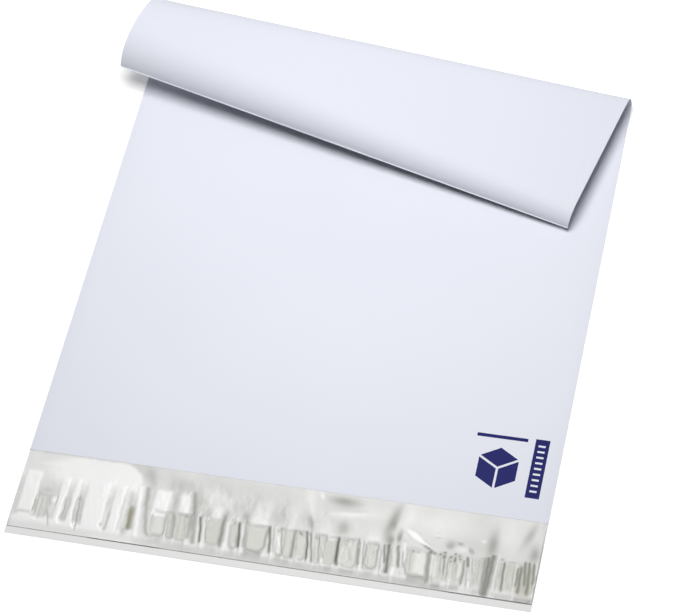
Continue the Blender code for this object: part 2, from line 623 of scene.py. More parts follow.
@dataclass(frozen=True)
class CornerPrint:
    """Plain blue print in the front panel's lower right corner."""

    bar_centre: Pair = (117.0 * MM, -92.8 * MM)
    bar_half: Pair = (3.4 * MM, 15.6 * MM)
    tick_half: Pair = (1.7 * MM, 0.5 * MM)
    tick_count: int = 9
    tick_pitch: float = 3.0 * MM
    block_centre: Pair = (98.2 * MM, -95.2 * MM)
    block_side: float = 11.6 * MM
    block_gap: float = 1.1 * MM
    rule_centre: Pair = (97.8 * MM, -78.6 * MM)
    rule_half: Pair = (12.2 * MM, 0.9 * MM)

    def ticks(self) -> list[Lozenge]:
        """White ticks left out of the blue bar.

        Returns:
            One knocked-out field per tick.
        """
        middle = (self.tick_count - 1) / 2.0
        marks = []
        for index in range(self.tick_count):
            up = self.bar_centre[1] + (index - middle) * self.tick_pitch
            marks.append(Lozenge((self.bar_centre[0], up), self.tick_half, knocked_out=True))
        return marks

    def box_faces(self) -> list[Lozenge]:
        """Three lozenges that meet as the faces of a plain box.

        Returns:
            One field per face.
        """
        faces = []
        slope = math.radians(30.0)
        reach = self.block_side * math.cos(slope) / 2.0
        for turn in range(3):
            heading = math.radians(90.0 + 120.0 * turn)
            middle = (
                self.block_centre[0] + self.block_side / 2.0 * math.cos(heading),
                self.block_centre[1] + self.block_side / 2.0 * math.sin(heading),
            )
            faces.append(
                Lozenge(
                    middle,
                    (reach - self.block_gap / 2.0, reach - self.block_gap / 2.0),
                    (math.cos(heading - slope), math.sin(heading - slope)),
                    (math.cos(heading + slope), math.sin(heading + slope)),
                )
            )
        return faces

    def fields(self) -> list[Lozenge]:
        """Every printed field, blue ones first.

        Returns:
            The fields of the bar, the box sign and the rule.
        """
        solid = [Lozenge(self.bar_centre, self.bar_half), Lozenge(self.rule_centre, self.rule_half)]
        return solid + self.box_faces() + self.ticks()


@dataclass(frozen=True)
class FilmFinish:
    """Cool white opaque film with a satin sheen, printed in one corner; the back panel gets painted
    shade.
    """

    name: str = "white_film"
    attribute: str = "back"
    color: Color = (0.80, 0.82, 0.90, 1.0)
    shade: Color = (0.78, 0.80, 0.88, 1.0)
    # Painted shade: the back panel is a little darker, so that the curl top, nearer the lamp,
    # renders like the front.
    back: Color = (0.76, 0.78, 0.86, 1.0)
    inside: Color = (0.86, 0.86, 0.855, 1.0)
    ink: Color = (0.004, 0.006, 0.12, 1.0)
    roughness: Pair = (0.38, 0.46)
    specular: float = 0.08
    cloud_scale: float = 9.0
    crinkle: Crinkle = Crinkle(26.0, 0.05, 0.5 * MM)
    print_above: float = 0.45 * MM
    inside_above: float = 0.1 * MM
    mouth: float = -120.1 * MM
    corner: CornerPrint = CornerPrint()

    def material(self, effects: Effects) -> Material:
        """Build the material.

        Args:
            effects: The shared node groups.

        Returns:
            The finished material.
        """
        surface = Surface(self.name, effects)
        cloud = surface.cloudy(self.cloud_scale)
        film = surface.mix(cloud, self.shade, self.color)
        back_shade_mask = surface.add("ShaderNodeAttribute", attribute_name=self.attribute)
        # Painted shade on the back panel.
        film = surface.mix(back_shade_mask.outputs["Fac"], film, self.back)
        split = surface.add("ShaderNodeSeparateXYZ")
        surface.feed(split.inputs[0], surface.place)
        above = surface.math("GREATER_THAN", split.outputs["Z"], self.inside_above)
        below_mouth = surface.math("LESS_THAN", split.outputs["Y"], self.mouth)
        film = surface.mix(surface.math("MULTIPLY", above, below_mouth), film, self.inside)
        printed = surface.math("GREATER_THAN", split.outputs["Z"], self.print_above)
        ink = surface.math("MULTIPLY", printed, self.ink_mask(surface))
        surface.dress(
            Base_Color=surface.mix(ink, film, self.ink),
            Roughness=surface.spread(cloud, *self.roughness),
            Specular_IOR_Level=self.specular,
        )
        surface.crease(self.crinkle)
        return surface.made

    def ink_mask(self, surface: Surface) -> NodeSocket:
        """Mask of the blue print on the front panel.

        Args:
            surface: The material's graph.

        Returns:
            1 where there is ink.
        """
        inked = None
        for mark in self.corner.fields():
            mask = surface.use(
                surface.effects.lozenge,
                Vector=surface.place,
                Centre=(*mark.centre, 0.0),
                First_Axis=(*mark.first_axis, 0.0),
                Second_Axis=(*mark.second_axis, 0.0),
                First_Half=mark.half[0],
                Second_Half=mark.half[1],
            ).outputs["Mask"]
            if inked is None:
                inked = mask
            elif mark.knocked_out:
                inked = surface.math("SUBTRACT", inked, mask, clamp=True)
            else:
                inked = surface.math("MAXIMUM", inked, mask)
        return inked


@dataclass(frozen=True)
class AdhesiveFinish:
    """Clear tacky adhesive with a faint olive tint."""

    name: str = "clear_adhesive"
    color: Color = (0.58, 0.58, 0.50, 1.0)
    thin: Color = (0.70, 0.70, 0.64, 1.0)
    roughness: float = 0.22
    cloud_scale: float = 120.0
    crinkle: Crinkle = Crinkle(300.0, 0.3, 0.1 * MM)

    def material(self, effects: Effects) -> Material:
        """Build the material.

        Args:
            effects: The shared node groups.

        Returns:
            The finished material.
        """
        surface = Surface(self.name, effects)
        color = surface.mix(surface.cloudy(self.cloud_scale), self.color, self.thin)
        surface.dress(Base_Color=color, Roughness=self.roughness)
        surface.crease(self.crinkle)
        return surface.made


@dataclass(frozen=True)
class LinerFinish:
    """Glossy cloudy clear film. Its tone attribute holds painted highlight, stuck tint, painted
    shade and olive tint.
    """

    name: str = "clear_liner"
    attribute: str = "tone"
    film: Color = (0.76, 0.76, 0.745, 1.0)
    film_dark: Color = (0.635, 0.638, 0.62, 1.0)
    # Colour of the painted highlight where the liner lifts.
    bright: Color = (0.965, 0.965, 0.96, 1.0)
    stuck: Color = (0.62, 0.63, 0.575, 1.0)
    # The line colour is painted shade, for creases, hollows and the rims and feet of stuck patches.
    line: Color = (0.135, 0.137, 0.105, 1.0)
    olive: Color = (0.28, 0.26, 0.16, 1.0)
    roughness: Pair = (0.16, 0.30)
    specular: float = 0.26
    cloud_scale: float = 60.0
    crinkle: Crinkle = Crinkle(90.0, 0.10, 0.3 * MM)

    def material(self, effects: Effects) -> Material:
        """Build the material.

        Args:
            effects: The shared node groups.

        Returns:
            The finished material.
        """
        surface = Surface(self.name, effects)
        tone = surface.add("ShaderNodeAttribute", attribute_name=self.attribute)
        split = surface.add("ShaderNodeSeparateColor")
        surface.feed(split.inputs[0], tone.outputs["Color"])
        cloud = surface.cloudy(self.cloud_scale)
        color = surface.mix(cloud, self.film_dark, self.film)
        color = surface.mix(split.outputs[Tone.STUCK.value], color, self.stuck)
        # Painted highlight.
        color = surface.mix(split.outputs[Tone.BRIGHT.value], color, self.bright)
        color = surface.mix(tone.outputs["Alpha"], color, self.olive)
        # Painted shade in creases, rims and hollows.
        color = surface.mix(split.outputs[Tone.LINE.value], color, self.line)
        surface.dress(
            Base_Color=color,
            Roughness=surface.spread(cloud, *self.roughness),
            Specular_IOR_Level=self.specular,
        )
        surface.crease(self.crinkle)
        return surface.made


class Maker:
    """Shapes meshes, and turns finished ones into pieces that ride on the bag."""

    @staticmethod
    def grid(
        middle: Vector, width: float, height: float, cell: Pair
    ) -> BMesh:
        """Lay a flat grid.

        Args:
            middle: Its middle.
            width: Its size across the bag.
            height: Its size up the bag.
            cell: Wanted size of a cell, across and up.

        Returns:
            The grid.
        """
        bm = bmesh.new()
        size = Matrix.Diagonal((width / 2.0, height / 2.0, 1.0, 1.0))
        columns, rows = round(width / cell[0]), round(height / cell[1])
        place = Matrix.Translation(middle) @ size
        bmesh.ops.create_grid(bm, x_segments=columns, y_segments=rows, size=1.0, matrix=place)
        return bm

    @staticmethod
    def draw_out(bm: BMesh, way: Place) -> None:
        """Draw a surface out into a solid.

        Args:
            bm: The surface.
            way: How far and which way.
        """
        drawn = bmesh.ops.extrude_face_region(bm, geom=bm.faces[:])
        moved = [item for item in drawn["geom"] if isinstance(item, BMVert)]
        bmesh.ops.translate(bm, verts=moved, vec=way)
        bmesh.ops.recalc_face_normals(bm, faces=bm.faces)

    @staticmethod
    def piece(
        name: str, bm: BMesh, material: Material, slot: str, node: str
    ) -> Object:
        """Link a mesh as a piece that stands for a CAD node.

        Args:
            name: Name of the piece.
            bm: Its mesh, which is freed.
            material: Its finish.
            slot: The record's material slot; not used.
            node: The node that it replaces.

        Returns:
            The new object.
        """
        mesh = bpy.data.meshes.new(name)
        bm.to_mesh(mesh)
        bm.free()
        mesh.shade_smooth()
        mesh.set_sharp_from_angle(angle=SHARP_ANGLE)
        mesh.materials.append(material)
        made = bpy.data.objects.new(name, mesh)
        bpy.context.scene.collection.objects.link(made)
        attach(made, BODY)
        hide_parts(node)
        LOG.info("%s: %d faces", name, len(mesh.polygons))
        return made


@dataclass
class Bag:
    """White film bag: back panel with its flap, front panel, side seams and end fold."""

    width: float = 0.254
    body_length: float = 0.330
    flap_length: float = 0.045
    film: float = 0.00015
    pocket_gap: float = 0.0003
    side_seam: float = 0.003
    pressed_seam: float = 0.0018
    origin_above_mouth: float = 0.120
    cell: float = 0.0075
    ripple: float = 0.00030
    broad_wave: float = 0.110
    fine_wave: float = 0.043
    gape: float = 0.0001
    gape_run: float = 0.035
    finish: FilmFinish = FilmFinish()

    @property
    def length(self) -> float:
        """Length of the flat bag, flap included."""
        return self.flap_length + self.body_length

    @property
    def curl(self) -> Curl:
        """Its curled closed end."""
        return Curl(self.width, self.length)

    @property
    def stack(self) -> float:
        """Thickness of the flat bag."""
        return 2.0 * self.film + self.pocket_gap

    @property
    def origin(self) -> Vector:
        """The bag's own origin, in the flat frame."""
        return Vector((0.0, self.flap_length + self.origin_above_mouth, 0.0))

    def outline(self) -> BMesh:
        """Solid side profile of the flat bag, drawn out to its width.

        Returns:
            The closed mesh.
        """
        profile = (
            (0.0, 0.0),
            (self.length, 0.0),
            (self.length, self.stack),
            (self.flap_length, self.stack),
            (self.flap_length, self.film),
            (0.0, self.film),
        )
        bm = bmesh.new()
        bm.faces.new([bm.verts.new((-self.width / 2.0, y, z)) for y, z in profile])
        Maker.draw_out(bm, (self.width, 0.0, 0.0))
        return bm

    @staticmethod
    def nearest(bm: BMesh, spot: Vector) -> BMFace:
        """Find a face by its place.

        Args:
            bm: The mesh.
            spot: A point near the face's middle.

        Returns:
            The face whose middle is nearest.
        """
        return min(bm.faces, key=lambda item: (item.calc_center_median() - spot).length)

    def split(self, bm: BMesh, spot: Vector, point: Vector, normal: Vector) -> None:
        """Cut one face along a plane.

        Args:
            bm: The mesh.
            spot: A point near the face's middle.
            point: A point of the plane.
            normal: The plane's normal.
        """
        face = self.nearest(bm, spot)
        geometry = [face] + face.edges[:] + face.verts[:]
        bmesh.ops.bisect_plane(bm, geom=geometry, plane_co=point, plane_no=normal)

    def open_pocket(self, bm: BMesh) -> None:
        """Push the mouth in between the panels, as far as the seams and the end fold.

        Args:
            bm: The flat bag.
        """
        mouth_edge = Vector((0.0, self.flap_length, (self.film + self.stack) / 2.0))
        slot = Vector((0.0, self.flap_length, self.film + self.pocket_gap / 2.0))
        ceiling = Vector((0.0, self.flap_length, self.film + self.pocket_gap))
        self.split(bm, mouth_edge, ceiling, Vector((0.0, 0.0, 1.0)))
        for side in Side:
            seam = Vector((side.value * (self.width / 2.0 - self.side_seam), 0.0, 0.0))
            self.split(bm, slot, seam, RIGHTWARDS)
        mouth = self.nearest(bm, slot)
        pushed = bmesh.ops.extrude_discrete_faces(bm, faces=[mouth])["faces"][0]
        bmesh.ops.translate(bm, verts=pushed.verts, vec=(0.0, self.body_length - self.film, 0.0))

    def divisions(self) -> list[Crease]:
        """Lines that divide the flat film, so that it can ripple.

        Returns:
            Lines across the bag below the curl, none of them folded.
        """
        levels = [index * self.cell for index in range(1, round(self.curl.start / self.cell))]
        return [Crease(Vector((0.0, level, 0.0)), RIGHTWARDS) for level in levels]

    def columns(self) -> list[float]:
        """Places across the bag where its film is divided.

        Returns:
            Distances from the centre line.
        """
        seam_in = self.width / 2.0 - self.side_seam
        count = round(2.0 * seam_in / self.cell)
        places = [-seam_in + 2.0 * seam_in * index / count for index in range(count + 1)]
        pressed = self.width / 2.0 - self.pressed_seam
        return places + [-pressed, pressed]

    def score(self, bm: BMesh) -> None:
        """Divide the flat bag along every line and column.

        Args:
            bm: The flat bag.
        """
        lines = self.divisions() + self.curl.creases()
        planes = [(line.point, line.across) for line in lines]
        planes += [(Vector((place, 0.0, 0.0)), RIGHTWARDS) for place in self.columns()]
        for point, normal in planes:
            geometry = bm.verts[:] + bm.edges[:] + bm.faces[:]
            plane = {"dist": ON_LINE, "plane_co": point, "plane_no": normal}
            bmesh.ops.bisect_plane(bm, geom=geometry, **plane)

    def rippled(self, flat: np.ndarray) -> np.ndarray:
        """Let the film ripple, gape at the mouth and press flat at the seams.

        Args:
            flat: Flat positions, one row each.

        Returns:
            The same positions with new heights.
        """
        x, y, z = flat.T
        in_seam = self.width / 2.0 - np.abs(x)
        free = ramp(in_seam, self.side_seam, 4.0 * self.side_seam)
        broad, fine = waves(x, y, self.broad_wave, 0.7), waves(x, y, self.fine_wave, 2.1)
        lift = self.ripple * (0.5 + 0.35 * broad + 0.15 * fine) * free
        across = np.cos(math.pi * x / self.width)
        lift += self.gape * across * (1.0 - ramp(y, self.flap_length, self.gape_run))
        front = z > self.film + 0.5 * self.pocket_gap
        rolled = ramp(y, self.curl.start, self.gape_run)
        share = np.where(front, 1.0, rolled)
        raised = z + np.where(y < self.flap_length - 0.5 * self.film, 0.0, share * lift)
        both = 2.0 * self.film
        pressed = both + (self.stack - both) * eased(in_seam / self.side_seam)
        top = z > self.stack - 0.5 * self.film
        height = np.where(top & (in_seam < self.side_seam), pressed, raised)
        return np.column_stack((x, y, height))

    def folded(self, flat: np.ndarray, spots: np.ndarray) -> np.ndarray:
        """Fold the film along every crease, the farthest first.

        Args:
            flat: Flat positions, which say what lies beyond a crease.
            spots: The same points with their ripples.

        Returns:
            The folded positions.
        """
        moved = spots.copy()
        for crease in reversed(self.curl.creases()):
            if crease.angle == 0.0:
                continue
            offset = crease.offsets(flat)
            beyond = offset > ON_LINE
            line = np.abs(offset) <= ON_LINE
            moved[beyond] = crease.turned(moved[beyond], 1.0)
            moved[line] = crease.turned(moved[line], 0.5)
        return moved

    def build(self, effects: Effects) -> Object:
        """Make the bag and dress it.

        Args:
            effects: The shared node groups.

        Returns:
            The bag's object.
        """
        bm = self.outline()
        self.open_pocket(bm)
        self.score(bm)
        flat = np.array([vert.co for vert in bm.verts], float)
        placed = self.folded(flat, self.rippled(flat)) - np.array(self.origin)
        # Marks the back panel, which the film finish paints with shade.
        back = bm.verts.layers.float.new(self.finish.attribute)
        for vert, start, spot in zip(bm.verts, flat, placed):
            vert[back] = float(start[2] < 0.5 * self.film)
            vert.co = Vector(spot)
        bmesh.ops.recalc_face_normals(bm, faces=bm.faces)
        made = Maker.piece("bag_film", bm, self.finish.material(effects), "film_white", "bag")
        return made


@dataclass
class AdhesiveBand:
    """Band of adhesive across the flap, with slightly uneven edges."""

    above_lip: float = 0.0075
    band: float = 0.0150
    thickness: float = 0.00015
    inset: float = 0.0010
    seat: float = 0.0003
    cell: Pair = (0.0010, 0.0010)
    unevenness: float = 0.00025
    lower_wave: float = 0.017
    upper_wave: float = 0.012
    finish: AdhesiveFinish = AdhesiveFinish()

    def build(self, bag: Bag, effects: Effects) -> Object:
        """Make the band and dress it.

        Args:
            bag: The bag that it lies on.
            effects: The shared node groups.

        Returns:
            The band's object.
        """
        middle = Vector((0.0, self.above_lip + self.band / 2.0, bag.film + self.seat)) - bag.origin
        bm = Maker.grid(middle, bag.width - 2.0 * self.inset, self.band, self.cell)
        low = middle.y - self.band / 2.0
        for vert in bm.verts:
            share = (vert.co.y - low) / self.band
            x = np.array([vert.co.x])
            lower = float(waves(x, 0.0 * x, self.lower_wave, 1.3)[0])
            upper = float(waves(x, 0.0 * x, self.upper_wave, 4.0)[0])
            vert.co.y += self.unevenness * ((1.0 - share) * lower + share * upper)
        Maker.draw_out(bm, (0.0, 0.0, self.thickness))
        finish = self.finish.material(effects)
        return Maker.piece("adhesive_band", bm, finish, "adhesive_clear", "adhesive_strip")


@dataclass(frozen=True)
class Spots:
    """Places on the liner, in millimetres from the bag's left edge and from the lip's end."""

    x: np.ndarray
    y: np.ndarray

    def softened(self) -> "Spots":
        """Move the places a little, so that what is drawn on them gets uneven edges.

        Returns:
            The moved places.
        """
        x, y = self.x, self.y
        aside = 0.28 * waves(x, y, 7.0, 1.9)
        return Spots(x + aside + 0.12 * waves(x, y, 2.6, 0.4), y + 0.35 * waves(x, y, 5.0, 3.3))


@dataclass(frozen=True)
class Contact:
    """A U-shaped patch where the liner sticks to the adhesive.

    Its left and right edges, and its lower end from the lip, are in millimetres. Its foot leans to
    the right. The rest says how much painted shade its rim and foot get, how olive it is, how wide
    its rim is and how firmly it sticks.
    """

    left: float
    right: float
    lean: float = 1.0
    low: float = 8.8
    # Rim and foot set how much painted shade lies along the patch's outline and below it.
    rim: float = 0.35
    foot: float = 0.2
    olive: float = 0.0
    wide: float = 0.6
    hold: float = 1.0

    @property
    def half(self) -> float:
        """Half its width."""
        return (self.right - self.left) / 2.0

    def distance(self, spots: Spots, top: float) -> np.ndarray:
        """Signed distance to its outline.

        Args:
            spots: Places on the liner.
            top: Where the adhesive ends, in millimetres.

        Returns:
            Distance in millimetres, negative inside. The U has no top side.
        """
        leaned = spots.x - self.lean * (top - spots.y) / (top - self.low)
        corner = min(0.9 * self.half, 3.0)
        aside = np.abs(leaned - (self.left + self.half)) - self.half + corner
        below = (self.low + corner) - spots.y
        outside = np.hypot(np.maximum(aside, 0.0), np.maximum(below, 0.0))
        inside = np.minimum(np.maximum(aside, below), 0.0)
        return outside + inside - corner

    def foot_weight(self, spots: Spots) -> np.ndarray:
        """Soft painted shade just below its lower end.

        Args:
            spots: Places on the liner.

        Returns:
            How much painted shade it gives, from 0 to 1.
        """
        off = np.abs(spots.x - self.lean - self.left - self.half) - self.half
        beside = fall(off, 0.0, 1.6)
        return self.foot * beside * np.exp(-(((spots.y - self.low + 1.6) / 1.9) ** 2))


@dataclass(frozen=True)
class Crimp:
    """A fine pucker.

    Where its top and foot lie from the bag's left edge, its half width, where it starts and ends
    from the lip, and how far it bows, in millimetres. A tone above 0 is a ridge with painted
    highlight, and one below 0 a groove with painted shade; both also raise or sink the relief.
    """

    top: float
    foot: float
    tone: float
    half: float = 0.30
    high: float = 22.4
    low: float = 8.6
    bow: float = 0.0

    def weight(self, spots: Spots) -> np.ndarray:
        """How strongly it shows.

        Args:
            spots: Places on the liner.

        Returns:
            1 along its middle, 0 away from it.
        """
        share = np.clip((self.high - spots.y) / (self.high - self.low), 0.0, 1.0)
        middle = self.top + (self.foot - self.top) * share + self.bow * np.sin(math.pi * share)
        middle = middle + 0.10 * np.sin(0.9 * spots.y + 1.7 * self.top)
        held = eased((spots.y - self.low) / 2.4 + 0.4) * eased((self.high - spots.y) / 1.6 + 0.4)
        return held * np.exp(-(((spots.x - middle) / self.half) ** 2))


@dataclass(frozen=True)
class Pad:
    """A lifted stretch of liner, with painted highlight.

    Its four edges and its lean are in millimetres, and so are the widths of its soft sides and of
    its fading top. Its shine says how strong its painted highlight is.
    """

    left: float
    right: float
    low: float
    high: float
    lean: float = 0.0
    painted_shine: float = 1.0
    soft: float = 1.6
    fade: float = 1.6

    def weight(self, spots: Spots) -> np.ndarray:
        """How strongly it shows.

        Args:
            spots: Places on the liner.

        Returns:
            1 on it, 0 off it.
        """
        leaned = spots.x - self.lean * (self.high - spots.y) / (self.high - self.low)
        held = window(leaned, self.left, self.right, self.soft)
        held = held * eased((spots.y - self.low) / min(self.soft, 1.4) + 0.5)
        return held * eased((self.high - spots.y) / self.fade + 0.5 * (self.fade < 4.0))


@dataclass(frozen=True)
class Shade:
    """Soft oval hollow (below 0, painted shade) or swell (above 0, painted highlight): middle, half
    sizes in millimetres, turn.
    """

    across: float
    up: float
    half_across: float
    half_up: float
    tone: float
    turn: float = 0.0

    def weight(self, spots: Spots) -> np.ndarray:
        """How strongly it shows.

        Args:
            spots: Places on the liner.

        Returns:
            1 at its middle, 0 away from it.
        """
        away, up = spots.x - self.across, spots.y - self.up
        along = (away * math.cos(self.turn) + up * math.sin(self.turn)) / self.half_across
        aside = (up * math.cos(self.turn) - away * math.sin(self.turn)) / self.half_up
        return np.exp(-(along**2) - aside**2)


# Rim and foot give each patch its painted shade.
# Each row: left, right, lean, low, rim, foot, olive, wide, hold.
CONTACTS = [Contact(*row) for row in (
    (11.2, 16.4, 0.3, 9.4, 0.1, 0.15, 0, 0.9, 0.45),
    (25.2, 27.4, -0.4, 8.8, 0.12, 0.2, 0, 0.9, 0.4), (31, 33.7, 1.6, 7.6, 0.12, 0.2, 0, 0.9, 0.45),
    (57, 59.2, 0.7, 10.6, 0.3, 0.35, 0.95), (69.4, 75.6, 0.8, 9.4, 0.3), (77, 79.2, 1.8, 9.6, 0.4),
    (81.2, 87, 1.4, 9.2, 0.3, 0.15), (97, 102.6, 0.8, 9.5, 0.3, 0.26),
    (108.2, 110.6, 1.4, 9.4, 0.35, 0.26), (115.8, 124.8, 0.4, 9.5, 0.35, 0.52),
    (131, 134, 0.8, 9.2, 0.3, 0.42), (134.6, 137.6, 1, 9, 0.2, 0.3),
    (140.2, 144, 1.4, 8.6, 0.25, 0.12), (148.4, 150, 2.4, 8, 0.25, 0.15),
    (151.4, 153.2, 1.4, 8.2, 0.2, 0.1), (155, 158.6, 0.6, 8.2, 0.2, 0.25, 0.12),
    (161.6, 168.4, 1.4, 8.2, 0.2, 0.25), (173.4, 178.2, 1, 9.6, 0.3, 0.26),
    (192.8, 201.8, 1.6, 9.2, 0.16, 0.6, 0.1, 0.9), (205, 209.4, 1.2, 7.6, 0.1, 0.42, 0.1, 1),
    (212.8, 218.8, 0.6, 7.8, 0.1, 0.42, 0.1, 1), (224.6, 227.8, 0.6, 7, 0.08, 0.35, 0.1, 1),
    (235.6, 243.4, 0.6, 6.6, 0.08, 0.3, 0.1, 1), (244.4, 252.6, 0.4, 6.2, 0.08, 0.55, 0.45, 1),
)]

# Crimp tones: painted highlight above 0, painted shade below 0.
# Each row: top, foot, tone, half, high, low, bow.
CRIMPS = [Crimp(*row) for row in (
    (11.6, 11.8, -0.35, 0.35, 23.5, 11), (13.9, 14.2, -0.25, 0.3, 21, 8),
    (17.6, 20.6, -0.4, 0.4, 15, 6), (21.3, 20.7, -0.5, 0.3, 22.6, 16.8, 0.5),
    (18.1, 18.5, -0.45, 0.3, 22.6, 16.8, -0.4), (25.6, 25.2, -0.5, 0.45, 22, 10, 0.4),
    (32, 33.8, -0.45, 0.5, 24, 6), (31, 32.2, -0.35, 0.3, 21, 9), (12.8, 13, 0.35, 0.35, 21, 7),
    (15.6, 16, 0.3, 0.4, 20, 6), (10.9, 11, -0.45, 0.4, 19, 12),
    (60.4, 63.8, 0.95, 1.15, 34, 4, -0.5), (63.4, 68.6, -0.42, 1.3, 34, 8.2, -0.9),
    (75.6, 77.4, 0.35, 0.35), (76.6, 78.4, -0.5, 0.22), (78.4, 80.2, -0.4, 0.22, 22.4, 10),
    (80.4, 82.6, -0.35, 0.25), (83, 84.6, 0.25, 0.3), (84.4, 87.8, -0.22, 0.3, 21, 9.6),
    (85.9, 91.4, -0.5, 1.4, 35, 7.6, 0.3), (87.9, 88.3, 0.75, 0.85, 10.6, 4),
    (91.2, 92.6, 0.45, 0.5, 25, 8.6), (92, 94.5, -0.96, 0.66, 22.6, 8.8, 0.3),
    (93.9, 95.8, 0.45, 0.4, 22, 5.6, 0.2), (95.2, 97.6, -0.52, 0.45, 22, 9.2),
    (95.4, 95.8, 0.75, 0.7, 10, 4), (103.5, 104.6, -0.64, 1.25, 25.5, 8),
    (105.7, 106.6, 0.4, 0.65, 22, 9), (106.4, 106.8, 0.9, 1.2, 11, 3.8),
    (107.2, 109.6, -0.42, 0.35, 21, 8.6, -0.4), (110.8, 111.4, 0.6, 0.7, 11.8, 9),
    (111.2, 113.5, -0.98, 0.68, 22.6, 9, 0.1), (112.8, 114.9, 0.35, 0.35, 22, 7.4),
    (114.6, 114.9, 0.88, 0.8, 10.4, 4.6), (114.2, 116.6, -0.56, 0.9, 24.5, 9.8, 0.2),
    (125.8, 128.6, -0.88, 0.85, 22.8, 8.8, 0.2), (127, 129.6, 0.42, 0.35, 22.4, 8, 0.2),
    (128, 130.8, -0.52, 0.32, 21.8, 7, 0.1), (129.8, 130, 0.9, 0.9, 10, 4),
    (130.9, 132.6, 0.55, 1.1, 20, 9.6), (131, 132.9, 1, 0.75, 18.8, 12.6),
    (131.6, 134.6, -0.66, 0.42, 23.2, 9.4, -0.1), (138.5, 139.6, -0.5, 1.25, 22.4, 7.4),
    (138.9, 139.2, -0.6, 0.5, 23, 20), (142, 142.2, 0.65, 1, 10, 4),
    (143.8, 146.4, -0.96, 0.56, 22.8, 7.6, 0.5), (145, 147.4, 0.38, 0.3, 21.6, 9.4, 0.3),
    (145.6, 149.6, -0.86, 0.58, 23, 7.4), (147.4, 147.6, 0.75, 0.8, 9.8, 4.2),
    (148, 149.6, 0.45, 0.45, 21, 16), (150.3, 152.5, -0.72, 0.36, 21.6, 8.2, -0.1),
    (151, 154.8, -0.32, 0.35, 18, 9.6), (151.8, 155.6, 0.38, 0.35, 18.4, 9.6),
    (153.7, 154.2, -0.55, 0.35, 22, 18), (153.6, 154.6, 0.85, 0.75, 10.4, 6),
    (159.4, 160.9, -1, 1, 22.6, 7.8, -0.1), (161.4, 163.2, -0.45, 0.3, 22.8, 18.6),
    (162.2, 162.8, 0.5, 0.5, 18, 6.8), (163.4, 166.8, -0.38, 0.4, 21, 11.4),
    (164.6, 165.4, 0.35, 0.4, 20, 7), (165.4, 167.6, -0.3, 0.35, 18, 11.4),
    (168.6, 169.9, -0.66, 0.42, 23.6, 19.4), (169.6, 171.2, -0.58, 0.6, 18.6, 8),
    (170.6, 173.8, 0.42, 0.35, 20, 8.8), (171.5, 174, -0.62, 0.36, 22.6, 7.4, -0.3),
    (171.8, 171.9, 0.9, 0.95, 10.2, 4), (178.2, 179.2, -0.5, 0.3, 19.8, 13),
    (179.6, 179.7, 0.5, 0.3, 19, 10.4), (180.4, 181.3, -0.58, 0.34, 20.4, 8.4),
    (181.2, 183.2, -0.92, 0.68, 22.6, 12.4), (182, 182.2, 0.6, 0.55, 9.6, 5.8),
    (183.3, 184.6, -1, 1.1, 23, 7.4, 0.1), (184.9, 185.9, -0.42, 0.45, 22, 11),
    (186.4, 187.6, 0.38, 0.35, 20, 10), (187.4, 187.6, 0.95, 1.4, 11.6, 3.4),
    (187.6, 189.8, -0.86, 0.81, 23, 11.2), (190.4, 192.4, 0.85, 1.1, 24.4, 15.6),
    (190.3, 191.8, -0.58, 0.32, 20, 11.4), (191.8, 194.4, -0.64, 0.47, 15, 7.8),
    (193.9, 194.9, -0.35, 0.3, 21.6, 13.6), (202.5, 204, -0.8, 1.23, 22.2, 5.6, -0.1),
    (204.4, 205.9, 0.6, 0.42, 20.6, 5.4), (205.8, 207.2, -0.42, 0.35, 10, 6),
    (206.2, 207, 0.65, 0.8, 20, 9), (208.2, 209.6, -0.48, 0.28, 20.4, 11),
    (209.9, 211.3, -0.78, 0.57, 20, 10.6), (211.2, 211.6, 0.75, 0.38, 20.6, 11),
    (212, 212.8, -0.54, 0.36, 20.8, 8.2), (213.6, 214.2, 0.6, 0.4, 20, 10),
    (214.3, 214.5, 0.95, 0.95, 10.2, 3.8), (215, 215.2, -0.88, 0.55, 21.6, 18),
    (215.8, 217.6, 0.85, 0.34, 21, 17), (216.1, 216.6, -0.45, 0.28, 17.6, 12.6),
    (217.8, 218.2, 0.9, 0.8, 18.6, 10.6), (219.2, 219.6, -0.8, 0.7, 20.6, 7.2, 0.4),
    (220.7, 221.4, -1, 0.9, 22.4, 16.6), (221.2, 222.2, -0.54, 0.44, 17, 6.6),
    (222.7, 224.4, -0.54, 0.38, 22.6, 13), (223.4, 223.6, 0.95, 1, 10.8, 3.8),
    (225, 225.2, -0.38, 0.3, 15, 11), (226.4, 226.8, -0.28, 0.3, 21, 10),
    (228.9, 229.8, -0.8, 1.2, 23, 4), (230.4, 230.6, -1, 1.6, 24, 3.6, 0.2),
    (232.2, 231.4, -1, 1.6, 25.4, 3.6, 0.3), (230.2, 230.9, -1, 0.59, 21.6, 8),
    (234.7, 235, 0.5, 0.7, 26, 4.6), (236.5, 236.9, -0.38, 0.28, 23.4, 13),
    (237.9, 238.7, -1, 0.7, 22.6, 7.4, -0.15), (238.9, 239.5, 0.4, 0.3, 23.4, 9),
    (239.5, 240.2, -0.38, 0.3, 21, 12), (241.4, 241.8, -0.38, 0.28, 12, 7.6),
    (242.5, 243.3, -0.48, 0.3, 22.4, 10.4), (243.8, 244.2, 0.5, 0.35, 21, 8.6),
    (244.6, 244.9, -0.9, 0.76, 20.6, 10.6), (245.9, 246.4, -1, 0.8, 21.4, 7),
    (246.7, 247.5, 0.42, 0.26, 22.6, 9), (247.2, 248.9, -1, 0.84, 24, 11.4),
    (248.5, 249.6, 0.45, 0.26, 23, 10), (249.3, 250.5, -1, 0.92, 24.4, 7.4, 0.1),
    (250.4, 251.5, 0.45, 0.26, 23.6, 9), (251.2, 252.4, -1, 0.8, 24, 12.8, 0.2),
    (252.4, 253.2, 0.42, 0.26, 24, 9),
)]
